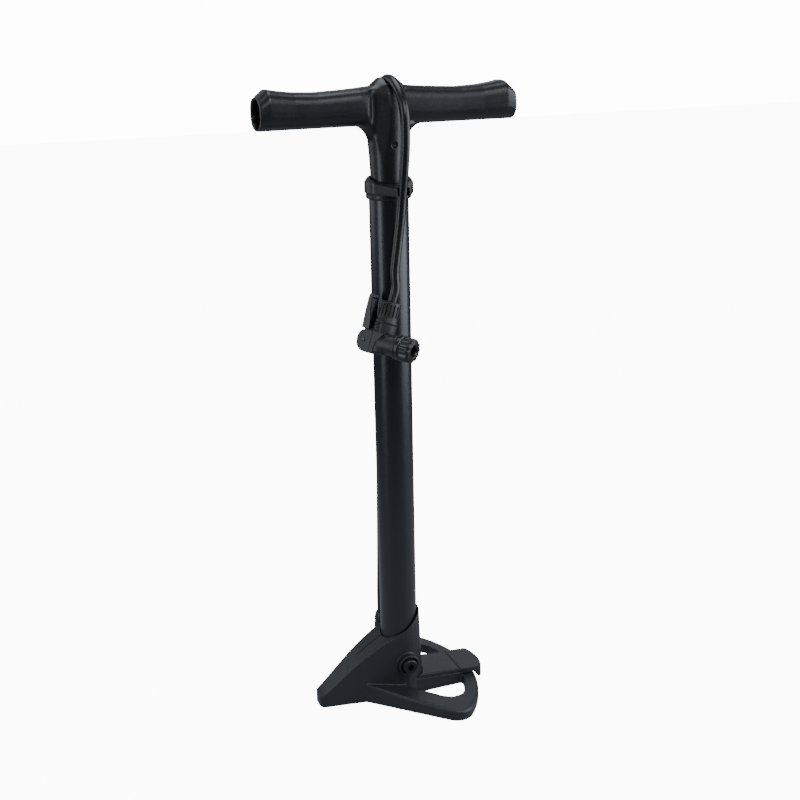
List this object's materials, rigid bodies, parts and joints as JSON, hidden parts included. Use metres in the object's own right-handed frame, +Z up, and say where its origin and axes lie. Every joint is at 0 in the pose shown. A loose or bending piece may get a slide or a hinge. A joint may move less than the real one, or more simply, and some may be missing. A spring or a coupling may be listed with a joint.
{
  "type": "floor bicycle pump",
  "caption": "Floor bicycle pump: tall barrel on a three-legged foot with a tread tongue, T-handle on a sliding rod, hose over the handle and a lever-locking head",
  "frame": {"origin": "on the floor under the barrel's axis, at the middle of the foot's underside", "axes": "+Z up along the barrel; +X from the barrel towards the tread tongue, with the foot's nose at -X; -Y the side where the head hangs; the handle's bar lies along X"},
  "size_m": [0.2312, 0.1654, 0.586],
  "materials": {
    "foot_plastic": "fine moulded texture, satin black",
    "handle_plastic": "satin black",
    "head_plastic": "glossy black",
    "guide_plastic": "off-white, moulded",
    "barrel_paint": "satin blue-black paint",
    "hose_rubber": "glossy black",
    "rubber": "matte black",
    "steel": "plain",
    "black_steel": "black oxide",
    "rod_chrome": "polished",
    "brass": "turned"
  },
  "bodies": {
    "frame": {"foot": "foot_plastic", "tread_plate": "foot_plastic", "tread_screw_1": "steel", "tread_screw_2": "steel", "nose_pad": "rubber", "front_arm_pad": "rubber", "back_arm_pad": "rubber", "rim_pad": "rubber", "socket_bolt": "black_steel", "barrel": "barrel_paint", "foot_plug": "guide_plastic", "plug_seal": "rubber", "valve_seat": "brass", "check_spring": "steel", "outlet_elbow": "brass", "hose_gland": "foot_plastic", "hose": "hose_rubber", "top_collar": "foot_plastic", "rod_bush": "guide_plastic", "rod_wiper": "rubber", "stop_ring": "rubber", "head_body": "head_plastic", "hose_sleeve": "head_plastic", "hose_barb": "brass", "lever_pin": "steel", "valve_gasket": "rubber"},
    "plunger": {"handle": "handle_plastic", "handle_pin": "steel", "piston_rod": "rod_chrome", "piston_head": "guide_plastic", "piston_cup": "rubber", "piston_washer": "steel", "piston_nut": "steel"},
    "ball": {"check_ball": "steel"},
    "lever": {"lock_lever": "head_plastic"},
    "pusher": {"head_plunger": "guide_plastic", "valve_depressor": "brass"},
    "nut": {"knurled_nut": "head_plastic"}
  },
  "joints": [
    {"name": "handle_lift", "type": "slide", "parent": "frame", "child": "plunger", "axis": [0, 0, 1], "range_m": [0, 0.38], "deforming": ["hose"]},
    {"name": "check_valve_lift", "type": "slide", "parent": "frame", "child": "ball", "axis": [0, 0, 1], "range_m": [-0.002, 0], "stiffness_N_per_m": 200, "springref_m": 0.002, "deforming": ["check_spring"]},
    {"name": "lever_swing", "type": "hinge", "parent": "frame", "child": "lever", "pos_m": [-0.03179, -0.02745, 0.36342], "axis": [-0.7434, -0.5671, 0.3546], "range_deg": [0, 90]},
    {"name": "pusher_slide", "type": "slide", "parent": "frame", "child": "pusher", "axis": [0.5728, -0.8135, -0.1003], "range_m": [0, 0.0015]},
    {"name": "nut_turn", "type": "hinge", "parent": "frame", "child": "nut", "pos_m": [-0.0243, -0.0376, 0.3629], "axis": [0.5728, -0.8135, -0.1003], "range_deg": [0, 360]}
  ],
  "couplings": [
    {"joint": "pusher_slide", "follows": "lever_swing", "m_per_rad": 0.0009}
  ]
}
